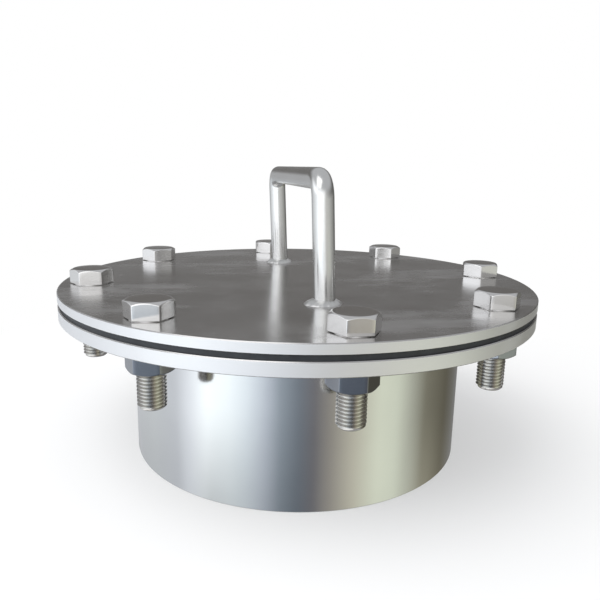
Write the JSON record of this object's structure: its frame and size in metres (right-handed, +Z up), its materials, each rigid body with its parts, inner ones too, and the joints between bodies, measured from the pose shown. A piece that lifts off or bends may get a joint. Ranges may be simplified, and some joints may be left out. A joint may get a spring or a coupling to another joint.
{
  "type": "tank manway cover",
  "caption": "Round bolted manway for a tank: a short neck with a plate flange, closed by a flat cover with a bar handle on a rubber gasket.",
  "frame": {"origin": "centre of the neck's lower end, where it is welded into the tank", "axes": "+Z up along the neck's axis, +Y along the handle, +X across it; one bolt lies on +X"},
  "size_m": [0.32, 0.32, 0.192],
  "materials": {
    "stainless_sheet": "brushed round the neck, bright",
    "stainless_plate": "satin mill finish, edges bright",
    "stainless_bar": "satin drawn bar",
    "stainless_fastener": "cold formed, bright",
    "weld": "rippled bead, cleaned",
    "rubber": "smooth black sheet rubber"
  },
  "bodies": {
    "nozzle": {"neck": "stainless_sheet", "flange_ring": "stainless_plate", "neck_weld_outer": "weld", "neck_weld_inner": "weld"},
    "gasket": {"gasket": "rubber"},
    "cover": {"cover_plate": "stainless_plate", "handle": "stainless_bar", "handle_weld_front": "weld", "handle_weld_rear": "weld"},
    "bolt_1": {"bolt_1": "stainless_fastener"},
    "nut_1": {"nut_1": "stainless_fastener"},
    "bolt_2": {"bolt_2": "stainless_fastener"},
    "nut_2": {"nut_2": "stainless_fastener"},
    "bolt_3": {"bolt_3": "stainless_fastener"},
    "nut_3": {"nut_3": "stainless_fastener"},
    "bolt_4": {"bolt_4": "stainless_fastener"},
    "nut_4": {"nut_4": "stainless_fastener"},
    "bolt_5": {"bolt_5": "stainless_fastener"},
    "nut_5": {"nut_5": "stainless_fastener"},
    "bolt_6": {"bolt_6": "stainless_fastener"},
    "nut_6": {"nut_6": "stainless_fastener"},
    "bolt_7": {"bolt_7": "stainless_fastener"},
    "nut_7": {"nut_7": "stainless_fastener"},
    "bolt_8": {"bolt_8": "stainless_fastener"},
    "nut_8": {"nut_8": "stainless_fastener"}
  },
  "joints": [
    {"name": "gasket_lift", "type": "slide", "parent": "nozzle", "child": "gasket", "axis": [0, 0, 1], "range_m": [0, 0.06]},
    {"name": "cover_lift", "type": "slide", "parent": "gasket", "child": "cover", "axis": [0, 0, 1], "range_m": [0, 0.06]},
    {"name": "bolt_1_turn", "type": "hinge", "parent": "cover", "child": "bolt_1", "pos_m": [0.14, 0, 0.114], "axis": [0, 0, 1], "range_deg": [0, 6120]},
    {"name": "nut_1_travel", "type": "slide", "parent": "nozzle", "child": "nut_1", "axis": [0, 0, -1], "range_m": [0, 0.0345]},
    {"name": "bolt_2_turn", "type": "hinge", "parent": "cover", "child": "bolt_2", "pos_m": [0.09899, 0.09899, 0.114], "axis": [0, 0, 1], "range_deg": [0, 6120]},
    {"name": "nut_2_travel", "type": "slide", "parent": "nozzle", "child": "nut_2", "axis": [0, 0, -1], "range_m": [0, 0.0345]},
    {"name": "bolt_3_turn", "type": "hinge", "parent": "cover", "child": "bolt_3", "pos_m": [0, 0.14, 0.114], "axis": [0, 0, 1], "range_deg": [0, 6120]},
    {"name": "nut_3_travel", "type": "slide", "parent": "nozzle", "child": "nut_3", "axis": [0, 0, -1], "range_m": [0, 0.0345]},
    {"name": "bolt_4_turn", "type": "hinge", "parent": "cover", "child": "bolt_4", "pos_m": [-0.09899, 0.09899, 0.114], "axis": [0, 0, 1], "range_deg": [0, 6120]},
    {"name": "nut_4_travel", "type": "slide", "parent": "nozzle", "child": "nut_4", "axis": [0, 0, -1], "range_m": [0, 0.0345]},
    {"name": "bolt_5_turn", "type": "hinge", "parent": "cover", "child": "bolt_5", "pos_m": [-0.14, 0, 0.114], "axis": [0, 0, 1], "range_deg": [0, 6120]},
    {"name": "nut_5_travel", "type": "slide", "parent": "nozzle", "child": "nut_5", "axis": [0, 0, -1], "range_m": [0, 0.0345]},
    {"name": "bolt_6_turn", "type": "hinge", "parent": "cover", "child": "bolt_6", "pos_m": [-0.09899, -0.09899, 0.114], "axis": [0, 0, 1], "range_deg": [0, 6120]},
    {"name": "nut_6_travel", "type": "slide", "parent": "nozzle", "child": "nut_6", "axis": [0, 0, -1], "range_m": [0, 0.0345]},
    {"name": "bolt_7_turn", "type": "hinge", "parent": "cover", "child": "bolt_7", "pos_m": [0, -0.14, 0.114], "axis": [0, 0, 1], "range_deg": [0, 6120]},
    {"name": "nut_7_travel", "type": "slide", "parent": "nozzle", "child": "nut_7", "axis": [0, 0, -1], "range_m": [0, 0.0345]},
    {"name": "bolt_8_turn", "type": "hinge", "parent": "cover", "child": "bolt_8", "pos_m": [0.09899, -0.09899, 0.114], "axis": [0, 0, 1], "range_deg": [0, 6120]},
    {"name": "nut_8_travel", "type": "slide", "parent": "nozzle", "child": "nut_8", "axis": [0, 0, -1], "range_m": [0, 0.0345]}
  ],
  "couplings": [
    {"joint": "nut_1_travel", "follows": "bolt_1_turn", "m_per_rad": 0.00031831},
    {"joint": "nut_2_travel", "follows": "bolt_2_turn", "m_per_rad": 0.00031831},
    {"joint": "nut_3_travel", "follows": "bolt_3_turn", "m_per_rad": 0.00031831},
    {"joint": "nut_4_travel", "follows": "bolt_4_turn", "m_per_rad": 0.00031831},
    {"joint": "nut_5_travel", "follows": "bolt_5_turn", "m_per_rad": 0.00031831},
    {"joint": "nut_6_travel", "follows": "bolt_6_turn", "m_per_rad": 0.00031831},
    {"joint": "nut_7_travel", "follows": "bolt_7_turn", "m_per_rad": 0.00031831},
    {"joint": "nut_8_travel", "follows": "bolt_8_turn", "m_per_rad": 0.00031831}
  ]
}
